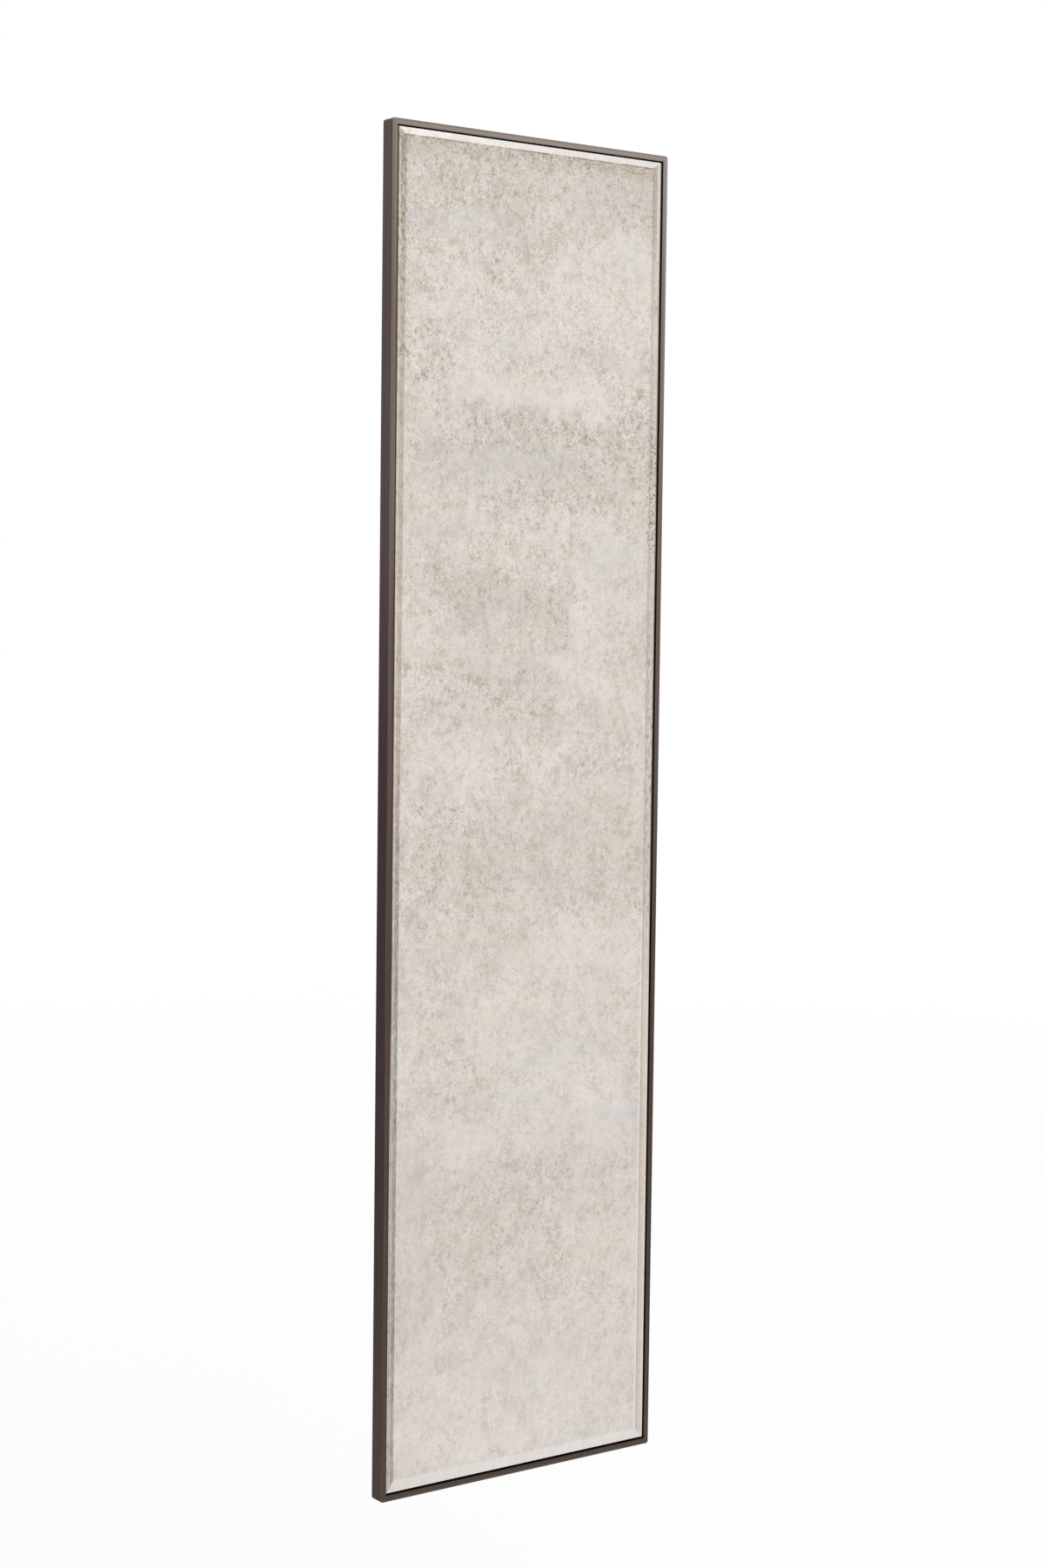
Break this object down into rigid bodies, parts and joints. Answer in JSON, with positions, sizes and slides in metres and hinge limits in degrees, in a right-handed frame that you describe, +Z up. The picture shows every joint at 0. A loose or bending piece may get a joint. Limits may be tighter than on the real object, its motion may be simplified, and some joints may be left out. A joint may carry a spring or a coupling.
{
  "type": "wall mirror",
  "caption": "Tall slim wall mirror: antiqued bevelled glass in a narrow bronze metal frame, with swinging D-rings behind for hanging it upright or on its side.",
  "frame": {"origin": "on the wall plane that the rubber bumpers touch, behind the middle of the mirror", "axes": "+Z up along the mirror's height, +Y into the wall, +X to the right as seen from the front"},
  "size_m": [0.45, 0.024, 1.8],
  "materials": {
    "bronze_frame": "satin",
    "antiqued_mirror": "gloss",
    "key_metal": "satin",
    "screw_steel": "satin",
    "hanger_steel": "satin",
    "film": "matte",
    "foam_tape": "matte",
    "adhesive": "matte",
    "black_board": "matte",
    "bumper_rubber": "matte"
  },
  "bodies": {
    "mirror": {"adhesive_dabs": "adhesive", "backing_board": "black_board", "backing_screws": "screw_steel", "bottom_rail": "bronze_frame", "corner_key_bottom_left": "key_metal", "corner_key_bottom_right": "key_metal", "corner_key_screws": "screw_steel", "corner_key_top_left": "key_metal", "corner_key_top_right": "key_metal", "hanger_screws": "screw_steel", "hanger_strap_left": "hanger_steel", "hanger_strap_lower": "hanger_steel", "hanger_strap_right": "hanger_steel", "hanger_strap_upper": "hanger_steel", "left_stile": "bronze_frame", "mirror_glass": "antiqued_mirror", "mounting_tape_centre": "foam_tape", "mounting_tape_left": "foam_tape", "mounting_tape_right": "foam_tape", "right_stile": "bronze_frame", "safety_film": "film", "top_rail": "bronze_frame", "wall_bumper_bottom_left": "bumper_rubber", "wall_bumper_bottom_right": "bumper_rubber", "wall_bumper_top_left": "bumper_rubber", "wall_bumper_top_right": "bumper_rubber"},
    "ring_left": {"d_ring_left": "hanger_steel"},
    "ring_right": {"d_ring_right": "hanger_steel"},
    "ring_upper": {"d_ring_upper": "hanger_steel"},
    "ring_lower": {"d_ring_lower": "hanger_steel"}
  },
  "joints": [
    {"name": "ring_left_swing", "type": "hinge", "parent": "mirror", "child": "ring_left", "pos_m": [-0.14, -0.00565, 0.6], "axis": [1, 0, 0], "range_deg": [0, 178]},
    {"name": "ring_right_swing", "type": "hinge", "parent": "mirror", "child": "ring_right", "pos_m": [0.14, -0.00565, 0.6], "axis": [1, 0, 0], "range_deg": [0, 178]},
    {"name": "ring_upper_swing", "type": "hinge", "parent": "mirror", "child": "ring_upper", "pos_m": [-0.15, -0.00565, 0.45], "axis": [0, 0, 1], "range_deg": [0, 178]},
    {"name": "ring_lower_swing", "type": "hinge", "parent": "mirror", "child": "ring_lower", "pos_m": [-0.15, -0.00565, -0.45], "axis": [0, 0, 1], "range_deg": [0, 178]}
  ]
}
